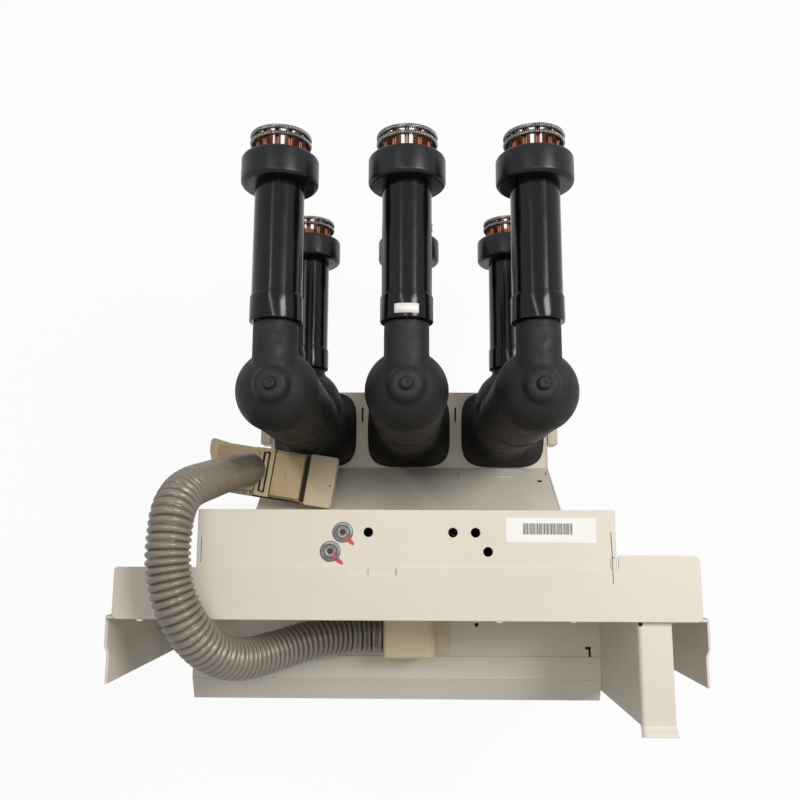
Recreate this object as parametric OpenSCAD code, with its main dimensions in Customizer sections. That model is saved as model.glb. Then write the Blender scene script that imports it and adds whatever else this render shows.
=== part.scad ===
// Withdrawable vacuum circuit breaker: three moulded poles on a sheet-metal chassis,
// six contact arms with tulip contacts pointing backwards (+Y), a mechanism housing,
// a wide front plate and a control conduit that loops over it to a loose plug.
// X runs across the breaker, Y from front to back, Z up from the floor.

/* [Poles] */
// Distance between the axes of neighbouring poles
pole_pitch = 150; // [140:1:210]
// Distance of the pole axes behind the origin
pole_y = 33; // [30:1:60]
// Radius of a pole's moulded trunk
trunk_r = 48; // [42:0.5:50]
// Radius of the dome that closes a pole's top
dome_r = 49; // [42:0.5:54]
// Height of the dome's centre below the upper arm's axis
dome_drop = 25; // [15:1:30]
// Radius of the round neck that carries a contact arm
neck_r = 26; // [25:0.5:28]
// Length of a neck from the pole's axis to its end
neck_len = 75; // [60:1:90]
// Radius of the round hub behind the lower neck
hub_r = 52; // [40:0.5:56]
// Width of a pole's foot across the breaker
foot_w = 132; // [110:1:138]
// Depth of a pole's foot from front to back
foot_d = 122; // [110:1:130]
// Height of the foot's straight edge
foot_edge = 9; // [4:1:14]
// Height over which the foot narrows to the trunk
foot_flare = 45; // [30:1:60]

/* [Contact arms] */
// Height of the upper contact arms above the floor
upper_arm_z = 506; // [480:1:560]
// Height of the lower contact arms above the floor
lower_arm_z = 231; // [215:1:260]
// Length of a sleeved arm from its neck to the tip of its fingers
arm_len = 229; // [190:1:280]
// Radius of the conducting rod inside an arm
rod_r = 24; // [20:0.5:24.5]
// Outside radius of the insulating sleeve
sleeve_r = 29; // [27.5:0.5:33]
// Outside radius of the wide cuff at the sleeve's root
cuff_r = 30.5; // [29:0.5:35]
// Length of the cuff
cuff_len = 31; // [20:1:50]
// Outside radius of the thick collar
collar_r = 45.5; // [40:0.5:50]
// Length of the collar along the arm
collar_len = 36; // [26:1:45]
// Distance from the collar's rear face to the finger tips
finger_show = 30; // [24:1:36]
// Radius of the collar's rounded edges
collar_round = 5.5; // [2:0.5:7]

/* [Tulip contacts] */
// Number of fingers in a tulip
finger_count = 12; // [8:1:12]
// Width of one finger
finger_w = 7; // [5:0.5:8]
// Radius of the bore between the fingers
tulip_r = 17.5; // [15:0.5:20]
// Outside radius of the fingers
finger_r = 30.2; // [27:0.1:32]
// Thickness of the disc that carries the fingers
tulip_disc = 10; // [6:1:14]
// Distance from the collar's root to that disc
disc_inset = 15; // [8:1:18]
// Wire diameter of a ring spring
spring_d = 6; // [4:0.5:6.5]

/* [Chassis] */
// Thickness of the folded sheet
sheet = 3; // [2:0.5:4]
// Width of the mechanism housing
housing_w = 445; // [435:1:560]
// Depth of the housing behind the front plate
housing_d = 112; // [90:1:120]
// Height of the housing's top
housing_z = 534; // [500:1:560]
// Height of the ledge that the poles stand on
ledge_z = 114; // [100:1:130]
// Height at which the sloping sheet meets the housing
slope_z = 232; // [180:1:260]
// Width of the long slots in the ledge
ledge_slot_w = 3; // [2:0.5:5]
// Length of the long slots in the ledge
ledge_slot_len = 24; // [12:1:40]
// Height of the base rails
rail_h = 25; // [20:1:40]
// Width of a base rail
rail_w = 40; // [25:1:50]
// Projection of the guide blocks at the chassis sides
guide_w = 16; // [8:1:24]
// Length of a guide block
guide_len = 48; // [30:1:80]

/* [Housing top] */
// Diameter of the plain holes in the top panel
top_hole_d = 10; // [6:0.5:12]
// Diameter of the steel bushings in the top panel
bushing_d = 22; // [16:1:28]
// Height of a bushing's head above the panel
bushing_head = 3; // [2:0.5:5]
// Diameter of the drive socket in a bushing
socket_d = 9; // [6:0.5:11]

/* [Front] */
// Distance of the front plate's rear face in front of the origin
plate_back = 216; // [200:1:230]
// Width of the front plate
plate_w = 631; // [620:1:700]
// Width of the plate's top flange
bar_w = 618; // [600:1:624]
// Depth of the top flange, from the plate's front face backwards
bar_d = 54; // [40:1:80]
// Thickness of the top flange
bar_t = 2.5; // [2:0.5:4]
// Extra depth of the top flange at its right-hand end
bar_end_d = 14; // [0:1:30]
// Depth of the side flanges in front of the plate
flange_d = 67; // [50:1:90]
// Height of the side flanges' lower edge
flange_bottom = 100; // [60:1:200]
// Drop of the side flanges' top edge below the top flange
flange_drop = 7; // [4:1:20]
// Sideways offset of the joggle in a side flange
joggle = 3; // [3:0.5:6]

/* [Right bracket] */
// Distance of the bracket's left face from the centre plane
bracket_x = 243; // [230:1:260]
// Width of the bracket's top
bracket_w = 36; // [25:1:42]
// Length of the bracket in front of the plate
bracket_len = 104; // [80:1:112]
// Height of the bracket's skirt
skirt_h = 188; // [120:1:220]
// Length of the lip at the bracket's front
lip_len = 11; // [6:1:16]
// Rise of that lip
lip_rise = 5; // [2:0.5:8]

/* [Console] */
// Distance of the lower front box's left end from the centre plane
console_left = 270; // [240:1:300]
// Depth of the lower front box in front of the plate
console_d = 118; // [112:1:150]
// Height of the console's shelf
shelf_z = 350; // [300:1:380]
// Depth of the shelf
shelf_d = 63; // [61:1:70]
// Step from the shelf up to the front rail
rail_step = 2; // [1:0.5:2.5]
// Depth of the front rail
front_rail_d = 28; // [20:1:40]
// Fall of the sloping lip
lip_fall = 14; // [8:1:24]

/* [Conduit] */
// Outside diameter of the corrugated conduit
conduit_d = 46; // [40:1:48]
// Length of the fitting's base on the shelf
fitting_len = 168; // [120:1:180]
// Thickness of the fitting's base
fitting_t = 4; // [3:0.5:6]
// Length of the fitting's hood across the breaker
hood_len = 63; // [50:1:80]
// Height of the fitting's hood above its base
hood_h = 54; // [54:1:64]
// Length of the plug's frame
plug_len = 188; // [170:1:200]
// Depth of the plug's frame
plug_d = 74; // [60:1:76]
// Thickness of the plug's frame
plug_t = 22; // [16:1:28]
// Height of the plug's hood above the frame
plug_hood_h = 14; // [8:1:20]

/* [Hidden] */
$fn = 64;

left = -pole_pitch;
centre = 0;
right = pole_pitch;
columns = [left, centre, right];

// Gap left between round parts that seat on each other
seat_gap = 0.3;

// Stations along Y
plate_back_y = -plate_back;
plate_front_y = plate_back_y - sheet;
housing_back_y = plate_back_y + housing_d;
ledge_front_y = pole_y - foot_d / 2;
ledge_back_y = pole_y + foot_d / 2;
neck_end_y = pole_y + neck_len;
tip_y = neck_end_y + arm_len;
collar_end_y = tip_y - finger_show;
collar_start_y = collar_end_y - collar_len;
disc_start_y = collar_start_y + disc_inset;
finger_start_y = disc_start_y + tulip_disc;
console_front_y = plate_front_y - console_d;
shelf_front_y = plate_front_y - shelf_d;
rail_front_y = shelf_front_y - front_rail_d;

// Heights
dome_z = upper_arm_z - dome_drop;
crown_boss_r = 18;
crown_boss_top = dome_r + 7;
nub_r = 7;
nub_top = dome_r + 13.5;
nub_recess_r = 3.5;
rail_top_z = shelf_z + rail_step;
lip_bottom_z = rail_top_z - lip_fall;
lip_leg = 8;
floor_top_z = rail_h + sheet;
bar_top_z = housing_z + bar_t;
flange_top_z = housing_z - flange_drop;

// The console runs from its left end to the right bracket's skirt
console_w = console_left + bracket_x;

// Inside faces of the chassis
inner_w = housing_w - 2 * sheet;
slope_run = ledge_front_y - housing_back_y;
slope_angle = atan2(slope_z - ledge_z, slope_run);
slope_drop = sheet / cos(slope_angle);

// Ring springs
spring_ring_r = finger_r + seat_gap / 2 + spring_d / 2;
spring_gap = 2;
spring_inset = 1;
spring_pitch = spring_d + spring_gap;

// Conduit fitting and plug
hood_x = 35;
fitting_x = 54;
fitting_front = 2.5;
hood_round = 9;
fitting_y = (plate_front_y + shelf_front_y) / 2;
fitting_d = shelf_d - 2 * fitting_front;
hood_d = 54;
conduit_exit = [-28, -251, 381];
plug_turn = -9;
plug_at = [-198.5, -46];
plug_z = 225;
plug_round = 8;
plug_hood_mid = -13;
plug_hood_len = 132;
plug_hood_d = 62;
insert_len = 96;
insert_d = 40;
insert_h = 24;
insert_at = -28;
insert_back = 12;

// The route of the conduit, from the fitting's mouth over the top flange to the plug
route = [
    conduit_exit, [-46, -251, 381], [-68, -252, 386], [-92, -253, 398], [-116, -256, 416],
    [-140, -261, 438], [-161, -265, 464], [-180, -265, 494], [-196, -257, 523],
    [-210, -241, 549], [-222, -220, 566], [-231, -198, 573], [-237, -178, 575],
    [-240, -160, 575], [-241, -143, 574], [-241, -126, 571], [-241, -110, 565],
    [-240, -95, 551], [-239, -82, 520], [-236, -71, 464], [-232, -60, 400],
    [-229, -50, 336], [-226, -44, 285], [-226, -42, 261]];
route_sides = 12;

// Direction of the route at one of its points
function route_step(i) =
    let (a = max(i - 1, 0), b = min(i + 1, len(route) - 1)) route[b] - route[a];
function unit(v) = v / norm(v);
// A frame across the route that is carried on from point to point without a twist
function carry(n, t) = unit(n - (n * t) * t);
function side_at(i) = i == 0 ? carry([0, 0, 1], unit(route_step(0)))
    : carry(side_at(i - 1), unit(route_step(i)));
function end_axis(i) = i == 0 ? [-1, 0, 0]
    : i == len(route) - 1 ? [0, 0, -1] : unit(route_step(i));
function ring(i) =
    let (t = end_axis(i), n = carry(side_at(i), t), b = cross(t, n))
    [for (k = [0 : route_sides - 1])
        route[i] + conduit_d / 2 * (cos(k * 360 / route_sides) * n
            + sin(k * 360 / route_sides) * b)];

// A solid of revolution about a contact arm's axis; the profile is [radius, Y]
module about_arm(x, z, profile) {
    translate([x, 0, z]) rotate([90, 0, 0]) mirror([0, 0, 1])
        rotate_extrude() polygon(profile);
}

// A plate with rounded corners, centred on the origin
module rounded_plate(w, d, r, h) {
    linear_extrude(h) union() {
        square([w - 2 * r, d], center = true);
        square([w, d - 2 * r], center = true);
        for (sx = [-1, 1], sy = [-1, 1])
            translate([sx * (w / 2 - r), sy * (d / 2 - r)]) circle(r);
    }
}

// Extrudes a [Y, Z] outline along X from x0 to x1
module across(x0, x1, outline) {
    translate([x0, 0, 0]) rotate([90, 0, 90]) linear_extrude(x1 - x0) polygon(outline);
}

module pole(x) {
    foot_round = 34;
    flare_r = norm([foot_w, foot_d]) / 2;
    steps = 8;
    flare = [for (i = [0 : steps])
        [trunk_r + (flare_r - trunk_r) * (1 - sin(i * 90 / steps)),
         foot_edge + foot_flare * (1 - cos(i * 90 / steps))]];
    color([0.17, 0.16, 0.15]) translate([x, pole_y, 0]) {
        translate([0, 0, ledge_z]) intersection() {
            rotate_extrude() polygon(concat([[0, 0], [flare_r, 0]], flare,
                [[0, foot_edge + foot_flare]]));
            rounded_plate(foot_w, foot_d, foot_round, foot_edge + foot_flare);
        }
        translate([0, 0, ledge_z + foot_edge])
            cylinder(r = trunk_r, h = dome_z - ledge_z - foot_edge);
        translate([0, 0, dome_z]) {
            sphere(r = dome_r);
            cylinder(r = crown_boss_r, h = crown_boss_top);
            difference() {
                cylinder(r = nub_r, h = nub_top);
                translate([0, 0, nub_top - 2]) cylinder(r = nub_recess_r, h = 3);
            }
        }
        translate([0, neck_len - hub_r, lower_arm_z]) sphere(r = hub_r - 1);
        for (z = [upper_arm_z, lower_arm_z])
            translate([0, 0, z]) rotate([-90, 0, 0]) cylinder(r = neck_r, h = neck_len);
        translate([0, 0, upper_arm_z]) sphere(r = neck_r);
    }
}

module sleeve(x, z) {
    bore = rod_r + seat_gap;
    color([0.05, 0.05, 0.06]) about_arm(x, z, [
        [bore, neck_end_y], [cuff_r, neck_end_y], [cuff_r, neck_end_y + cuff_len],
        [sleeve_r, neck_end_y + cuff_len], [sleeve_r, collar_start_y], [bore, collar_start_y]]);
}

module collar(x, z) {
    bore = rod_r + seat_gap;
    pocket = finger_r + seat_gap;
    steps = 6;
    arc = [for (i = [0 : steps]) i * 90 / steps];
    front_edge = [for (a = arc) [collar_r - collar_round * (1 - sin(a)),
        collar_start_y + collar_round * (1 - cos(a))]];
    back_edge = [for (a = arc) [collar_r - collar_round * (1 - cos(a)),
        collar_end_y - collar_round * (1 - sin(a))]];
    color([0.06, 0.06, 0.08]) about_arm(x, z, concat(
        [[bore, collar_start_y]], front_edge, back_edge,
        [[pocket, collar_end_y], [pocket, disc_start_y - seat_gap],
         [bore, disc_start_y - seat_gap]]));
}

module tulip(x, z) {
    color([0.72, 0.42, 0.27]) translate([x, disc_start_y, z]) rotate([-90, 0, 0]) {
        cylinder(r = finger_r, h = tulip_disc);
        difference() {
            intersection() {
                cylinder(r = finger_r, h = tip_y - disc_start_y);
                for (k = [0 : finger_count - 1])
                    rotate(k * 360 / finger_count) translate([0, -finger_w / 2, 0])
                        cube([finger_r + 1, finger_w, tip_y - disc_start_y]);
            }
            translate([0, 0, tulip_disc]) cylinder(r = tulip_r, h = tip_y - disc_start_y);
        }
    }
}

module rods(z) {
    color([0.75, 0.75, 0.74]) for (x = columns)
        translate([x, neck_end_y, z]) rotate([-90, 0, 0])
            cylinder(r = rod_r, h = disc_start_y - neck_end_y);
}

module springs(z) {
    color([0.78, 0.78, 0.76]) for (x = columns, i = [0, 1])
        translate([x, tip_y - spring_inset - spring_d / 2 - i * spring_pitch, z])
            rotate([90, 0, 0]) rotate_extrude() translate([spring_ring_r, 0])
                circle(d = spring_d);
}

module pole_ledge() {
    color([0.85, 0.83, 0.78]) difference() {
        translate([-inner_w / 2, ledge_front_y, ledge_z - sheet])
            cube([inner_w, foot_d, sheet]);
        for (s = [-1, 1])
            translate([s * pole_pitch / 2 - ledge_slot_w / 2, pole_y + foot_d / 10,
                       ledge_z - 2 * sheet])
                cube([ledge_slot_w, ledge_slot_len, 3 * sheet]);
    }
}

module slope_panel() {
    color([0.75, 0.73, 0.68]) across(-inner_w / 2, inner_w / 2, [
        [ledge_front_y, ledge_z], [housing_back_y, slope_z],
        [housing_back_y, slope_z - slope_drop], [ledge_front_y, ledge_z - slope_drop]]);
}

module rear_apron() {
    color([0.85, 0.83, 0.78]) translate([-inner_w / 2, ledge_back_y - sheet, rail_h])
        cube([inner_w, sheet, ledge_z - sheet - rail_h]);
}

module guide_blocks() {
    block_h = 40;
    color([0.80, 0.75, 0.63]) for (s = [-1, 1])
        translate([s * (housing_w / 2 + guide_w / 2), pole_y, ledge_z + sheet])
            mirror([0, 0, 1]) rounded_plate(guide_w, guide_len, 2, block_h);
}

module base_rails() {
    color([0.70, 0.69, 0.66]) for (s = [-1, 1])
        translate([s * (housing_w / 2 - rail_w / 2) - rail_w / 2, console_front_y + sheet, 0])
            cube([rail_w, ledge_back_y - console_front_y - sheet, rail_h]);
}

module base_cross_members() {
    between = housing_w - 2 * rail_w;
    color([0.70, 0.69, 0.66]) for (y = [plate_back_y, ledge_back_y - rail_w])
        translate([-between / 2, y, 0]) cube([between, rail_w, rail_h]);
}

module housing_sides() {
    outline = [
        [plate_back_y, rail_h], [ledge_back_y, rail_h], [ledge_back_y, ledge_z],
        [ledge_front_y, ledge_z], [housing_back_y, slope_z], [housing_back_y, housing_z],
        [plate_back_y, housing_z]];
    color([0.83, 0.81, 0.76]) for (s = [-1, 1])
        across(s * (housing_w - sheet) / 2 - sheet / 2, s * (housing_w - sheet) / 2 + sheet / 2,
            outline);
}

module housing_rear() {
    bottom = slope_z - slope_drop;
    color([0.83, 0.81, 0.76]) across(-inner_w / 2, inner_w / 2, [
        [housing_back_y, bottom], [housing_back_y, housing_z],
        [housing_back_y - sheet, housing_z],
        [housing_back_y - sheet, bottom + sheet * tan(slope_angle)]]);
}

// Places of the plain holes and of the bushings in the top panel, as [X, Y]
back_row_y = housing_back_y - 24;
front_row_y = back_row_y - 20;
top_holes = [[-40, back_row_y], [50, back_row_y], [74, back_row_y], [87, front_row_y]];
bushings = [[-67, back_row_y], [-80, front_row_y]];

module housing_top() {
    color([0.87, 0.85, 0.80]) difference() {
        translate([-inner_w / 2, plate_back_y, housing_z - sheet])
            cube([inner_w, housing_d - sheet, sheet]);
        for (p = top_holes)
            translate([p[0], p[1], housing_z - 2 * sheet])
                cylinder(d = top_hole_d, h = 3 * sheet);
    }
}

module top_bushings() {
    color([0.50, 0.50, 0.49]) for (p = bushings)
        translate([p[0], p[1], housing_z]) difference() {
            cylinder(d = bushing_d, h = bushing_head);
            translate([0, 0, 1]) cylinder(d = socket_d, h = bushing_head);
        }
}

module front_plate() {
    color([0.86, 0.84, 0.79]) translate([-plate_w / 2, plate_front_y, rail_h])
        cube([plate_w, sheet, housing_z - rail_h]);
}

module top_flange() {
    notch_x = -60;
    notch_w = 50;
    notch_d = 8;
    end_x = housing_w / 2 + 4;
    color([0.87, 0.85, 0.80]) difference() {
        union() {
            translate([-bar_w / 2, plate_front_y, housing_z]) cube([bar_w, bar_d, bar_t]);
            translate([end_x, plate_front_y + bar_d, housing_z])
                cube([bar_w / 2 - end_x, bar_end_d, bar_t]);
        }
        translate([notch_x, plate_front_y + bar_d - notch_d, housing_z - 1])
            cube([notch_w, notch_d + 1, bar_t + 2]);
    }
}

// Side flange: a strip beside the plate's edge, set in by a joggle half way forward
module side_flange(s) {
    joggle_y = plate_front_y - 29;
    run = 6;
    front_y = plate_front_y - flange_d;
    outer = plate_w / 2 + sheet;
    outline = [
        [outer, plate_back_y], [outer, joggle_y], [outer - joggle, joggle_y - run],
        [outer - joggle, front_y], [outer - joggle - sheet, front_y],
        [outer - joggle - sheet, joggle_y - run], [outer - sheet, joggle_y],
        [outer - sheet, plate_back_y]];
    color([0.84, 0.82, 0.77]) translate([0, 0, flange_bottom])
        mirror([s < 0 ? 1 : 0, 0, 0])
            linear_extrude(flange_top_z - flange_bottom) polygon(outline);
}

module bracket_top() {
    flat_end = plate_front_y - bracket_len;
    color([0.86, 0.83, 0.78]) across(bracket_x, bracket_x + bracket_w, [
        [plate_front_y, flange_top_z], [flat_end, flange_top_z],
        [flat_end - lip_len, flange_top_z + lip_rise],
        [flat_end - lip_len, flange_top_z + lip_rise - sheet],
        [flat_end, flange_top_z - sheet], [plate_front_y, flange_top_z - sheet]]);
}

module bracket_skirt() {
    color([0.72, 0.70, 0.66])
        translate([bracket_x, plate_front_y - bracket_len, flange_top_z - sheet - skirt_h])
            cube([sheet, bracket_len, skirt_h]);
}

module console_shelf() {
    // A screw hole and an L-shaped slot near the shelf's right-hand end
    hole_x = 88;
    slot_x = 228;
    slot = 3;
    slot_run = 12;
    color([0.85, 0.83, 0.78]) difference() {
        translate([-console_left, shelf_front_y, shelf_z - sheet])
            cube([console_w, shelf_d, sheet]);
        translate([hole_x, plate_front_y - 25, shelf_z - 2 * sheet])
            cylinder(d = 5, h = 3 * sheet);
        translate([slot_x, shelf_front_y - 1, shelf_z - 2 * sheet])
            cube([slot, slot_run + 1, 3 * sheet]);
        translate([slot_x - 4, shelf_front_y + slot_run - slot, shelf_z - 2 * sheet])
            cube([slot_run, slot, 3 * sheet]);
    }
}

module console_front_rail() {
    color([0.86, 0.84, 0.79])
        translate([-console_left, rail_front_y, rail_top_z - sheet])
            cube([console_w, front_rail_d, sheet]);
}

module console_lip() {
    fall = atan2(lip_fall, rail_front_y - console_front_y);
    drop = sheet / cos(fall);
    color([0.84, 0.82, 0.77]) across(-console_left, bracket_x, [
        [rail_front_y, rail_top_z], [console_front_y, lip_bottom_z],
        [console_front_y, lip_bottom_z - lip_leg],
        [console_front_y + sheet, lip_bottom_z - lip_leg],
        [console_front_y + sheet, lip_bottom_z - drop + sheet * tan(fall)],
        [rail_front_y, rail_top_z - drop]]);
}

module console_face() {
    color([0.84, 0.82, 0.77]) translate([-console_left, console_front_y, rail_h])
        cube([console_w, sheet, lip_bottom_z - lip_leg - rail_h]);
}

module console_sides() {
    color([0.84, 0.82, 0.77]) for (x = [-console_left, bracket_x - sheet])
        translate([x, console_front_y + sheet, floor_top_z])
            cube([sheet, console_d - sheet, lip_bottom_z - lip_leg - floor_top_z]);
}

// Bottom sheets of the console and of the chassis, lying on the base rails
module floor_pans() {
    color([0.80, 0.78, 0.74]) {
        translate([-console_left, console_front_y + sheet, rail_h])
            cube([console_w, console_d - sheet, sheet]);
        translate([-inner_w / 2, plate_back_y, rail_h])
            cube([inner_w, ledge_back_y - sheet - plate_back_y, sheet]);
    }
}

module fitting_base() {
    color([0.85, 0.80, 0.68])
        translate([fitting_x - fitting_len / 2, fitting_y, shelf_z])
            rounded_plate(fitting_len, fitting_d, 3, fitting_t);
}

module fitting_hood() {
    bottom = shelf_z + fitting_t;
    top = bottom + hood_h;
    color([0.85, 0.80, 0.68]) intersection() {
        translate([hood_x - hood_len, fitting_y, bottom]) rotate([90, 0, 90])
            linear_extrude(hood_len) union() {
                translate([-hood_d / 2, 0]) square([hood_d, hood_h - hood_round]);
                translate([-hood_d / 2 + hood_round, 0])
                    square([hood_d - 2 * hood_round, hood_h]);
                for (s = [-1, 1])
                    translate([s * (hood_d / 2 - hood_round), hood_h - hood_round])
                        circle(hood_round);
            }
        translate([hood_x - hood_len / 2, 0, bottom - 1])
            rotate([-90, 0, 0]) translate([0, -(top - bottom + 1) / 2, fitting_y - hood_d])
                rounded_plate(hood_len, top - bottom + 1, 4, 2 * hood_d);
    }
}

module conduit() {
    last = len(route) - 1;
    points = [for (i = [0 : last]) each ring(i)];
    walls = [for (i = [0 : last - 1], k = [0 : route_sides - 1])
        let (k2 = (k + 1) % route_sides)
        [i * route_sides + k, i * route_sides + k2,
         (i + 1) * route_sides + k2, (i + 1) * route_sides + k]];
    start_cap = [for (k = [route_sides - 1 : -1 : 0]) k];
    end_cap = [for (k = [0 : route_sides - 1]) last * route_sides + k];
    color([0.50, 0.46, 0.43]) polyhedron(points, concat([start_cap], walls, [end_cap]));
}

// Stands the plug's pieces in their place, turned about the vertical
module at_plug(z) {
    translate([plug_at[0], plug_at[1], z]) rotate(plug_turn) children();
}

module plug_frame() {
    color([0.85, 0.79, 0.66]) {
        at_plug(plug_z) rounded_plate(plug_len, plug_d, plug_round, plug_t);
        at_plug(plug_z - insert_h) translate([insert_at, insert_back, 0])
            rounded_plate(insert_len, insert_d, 3, insert_h + 1);
    }
}

module plug_hood() {
    color([0.85, 0.79, 0.66]) at_plug(plug_z + plug_t)
        translate([plug_hood_mid, 0, 0])
            rounded_plate(plug_hood_len, plug_hood_d, plug_round, plug_hood_h);
}

pole(left);  // pole_left
pole(centre);  // pole_centre
pole(right);  // pole_right
sleeve(left, upper_arm_z);  // sleeve_upper_left
sleeve(centre, upper_arm_z);  // sleeve_upper_centre
sleeve(right, upper_arm_z);  // sleeve_upper_right
sleeve(left, lower_arm_z);  // sleeve_lower_left
sleeve(centre, lower_arm_z);  // sleeve_lower_centre
sleeve(right, lower_arm_z);  // sleeve_lower_right
collar(left, upper_arm_z);  // collar_upper_left
collar(centre, upper_arm_z);  // collar_upper_centre
collar(right, upper_arm_z);  // collar_upper_right
collar(left, lower_arm_z);  // collar_lower_left
collar(centre, lower_arm_z);  // collar_lower_centre
collar(right, lower_arm_z);  // collar_lower_right
tulip(left, upper_arm_z);  // tulip_upper_left
tulip(centre, upper_arm_z);  // tulip_upper_centre
tulip(right, upper_arm_z);  // tulip_upper_right
tulip(left, lower_arm_z);  // tulip_lower_left
tulip(centre, lower_arm_z);  // tulip_lower_centre
tulip(right, lower_arm_z);  // tulip_lower_right
rods(upper_arm_z);  // rods_upper
rods(lower_arm_z);  // rods_lower
springs(upper_arm_z);  // springs_upper
springs(lower_arm_z);  // springs_lower
pole_ledge();
slope_panel();
rear_apron();
guide_blocks();
base_rails();
base_cross_members();
housing_sides();
housing_rear();
housing_top();
top_bushings();
front_plate();
top_flange();
side_flange(-1);  // side_flange_left
side_flange(1);  // side_flange_right
bracket_top();
bracket_skirt();
console_shelf();
console_front_rail();
console_lip();
console_face();
console_sides();
floor_pans();
fitting_base();
fitting_hood();
conduit();
plug_frame();
plug_hood();
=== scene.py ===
"""Looks of a withdrawable vacuum circuit breaker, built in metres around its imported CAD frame."""

import bmesh
import bpy
import numpy as np
from mathutils import Matrix, Vector
from mathutils.kdtree import KDTree


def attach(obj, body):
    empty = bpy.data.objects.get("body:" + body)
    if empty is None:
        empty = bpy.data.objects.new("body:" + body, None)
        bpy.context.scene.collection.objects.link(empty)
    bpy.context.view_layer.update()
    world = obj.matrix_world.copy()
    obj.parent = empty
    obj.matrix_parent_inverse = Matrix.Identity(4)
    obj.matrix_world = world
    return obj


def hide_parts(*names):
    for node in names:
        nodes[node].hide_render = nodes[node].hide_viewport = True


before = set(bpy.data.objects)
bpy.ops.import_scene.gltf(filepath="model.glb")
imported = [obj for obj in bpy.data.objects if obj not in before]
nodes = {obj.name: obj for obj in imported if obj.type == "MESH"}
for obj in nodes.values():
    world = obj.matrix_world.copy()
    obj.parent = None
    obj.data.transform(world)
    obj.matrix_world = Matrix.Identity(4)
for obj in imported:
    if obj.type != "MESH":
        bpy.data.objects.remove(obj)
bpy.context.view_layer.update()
scene = bpy.context.scene
scene.view_settings.view_transform = "Standard"

# ---- Camera: looks almost straight down on the breaker, which lies with its contacts away from it ----
lens = bpy.data.cameras.new("camera")
lens.lens = 36
lens.sensor_width = 36
camera = bpy.data.objects.new("camera", lens)
camera.matrix_world = Matrix((
    (0.99984, -0.00131, 0.01802, 0.009),
    (0.00414, 0.98749, -0.15762, -0.123),
    (-0.01758, 0.15767, 0.98734, 1.396),
    (0, 0, 0, 1)))
scene.collection.objects.link(camera)
scene.camera = camera

# ---- Control conduit ----
# A corrugated conduit of grey polyamide carries the control wires out of the front console, over
# the top flange and down to the control plug. It is pushed into the fitting at one end and into
# the plug at the other, and is stiff enough to stand in its own arch.
conduit_d = 0.046
rib_pitch = 0.0075
rib_depth = 0.0036
conduit_exit = (-0.028, -0.251, 0.381)
conduit_route = np.array([
    conduit_exit, (-0.046, -0.251, 0.381), (-0.068, -0.252, 0.386), (-0.092, -0.253, 0.398),
    (-0.116, -0.256, 0.416), (-0.140, -0.261, 0.438), (-0.161, -0.265, 0.464),
    (-0.180, -0.265, 0.494), (-0.196, -0.257, 0.523), (-0.210, -0.241, 0.549),
    (-0.222, -0.220, 0.566), (-0.231, -0.198, 0.573), (-0.237, -0.178, 0.575),
    (-0.240, -0.160, 0.575), (-0.241, -0.143, 0.574), (-0.241, -0.126, 0.571),
    (-0.241, -0.110, 0.565), (-0.240, -0.095, 0.551), (-0.239, -0.082, 0.520),
    (-0.236, -0.071, 0.464), (-0.232, -0.060, 0.400), (-0.229, -0.050, 0.336),
    (-0.226, -0.044, 0.285), (-0.226, -0.042, 0.261)])


def spline_through(points, start_way, end_way, step):
    """A line through the points, read every step metres. Each coordinate is a cubic spline of the
    chord length, whose slopes at the two ends are those of the given directions."""
    chord = np.r_[0, np.cumsum(np.linalg.norm(np.diff(points, axis=0), axis=1))]
    gap, rise = np.diff(chord)[:, None], np.diff(points, axis=0)
    slope = rise / gap
    count = len(points)
    bend = np.zeros((count, count))
    bend[np.arange(count), np.arange(count)] = 2 * (np.r_[0, gap[:, 0]] + np.r_[gap[:, 0], 0])
    bend[np.arange(count - 1), np.arange(1, count)] = gap[:, 0]
    bend[np.arange(1, count), np.arange(count - 1)] = gap[:, 0]
    change = 6 * np.diff(np.vstack([start_way, slope, end_way]), axis=0)
    second = np.linalg.solve(bend, change)
    at = np.linspace(0, chord[-1], int(chord[-1] / step) + 1)
    i = np.clip(np.searchsorted(chord, at, side="right") - 1, 0, count - 2)
    h, u = gap[i], (at - chord[i])[:, None]
    v = h - u
    return (second[i] * v ** 3 + second[i + 1] * u ** 3) / (6 * h) \
        + (points[i] / h - second[i] * h / 6) * v + (points[i + 1] / h - second[i + 1] * h / 6) * u


def grid_faces(rows, columns, round_rows=False, round_columns=True):
    """Quads that join a grid of points, row after row. A round direction joins its end to its start."""
    r = np.arange(rows if round_rows else rows - 1)[:, None]
    c = np.arange(columns if round_columns else columns - 1)[None, :]
    r2, c2 = (r + 1) % rows, (c + 1) % columns
    quads = np.stack([r * columns + c, r * columns + c2, r2 * columns + c2, r2 * columns + c], -1)
    return quads.reshape(-1, 4)


def closed_mesh(name, shells):
    """A mesh from shells of points and faces. Points that meet are merged, and faces are turned
    outwards."""
    shape, faces, first = bpy.data.meshes.new(name), [], 0
    for points, quads in shells:
        faces += [[int(k) + first for k in face] for face in quads]
        first += len(points)
    shape.from_pydata(np.vstack([p for p, _ in shells]).tolist(), [], faces)
    work = bmesh.new()
    work.from_mesh(shape)
    bmesh.ops.remove_doubles(work, verts=work.verts, dist=1e-6)
    bmesh.ops.recalc_face_normals(work, faces=work.faces)
    work.to_mesh(shape)
    work.free()
    return shape


def add_piece(name, shells, finish, replaced=(), crease=35):
    """One piece on the body root. Edges sharper than crease degrees stay sharp."""
    shape = closed_mesh(name, shells)
    shape.shade_smooth()
    shape.set_sharp_from_angle(angle=np.radians(crease))
    shape.materials.append(finish)
    piece = bpy.data.objects.new(name, shape)
    scene.collection.objects.link(piece)
    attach(piece, "root")
    if replaced:
        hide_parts(*replaced)
    return piece


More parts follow.
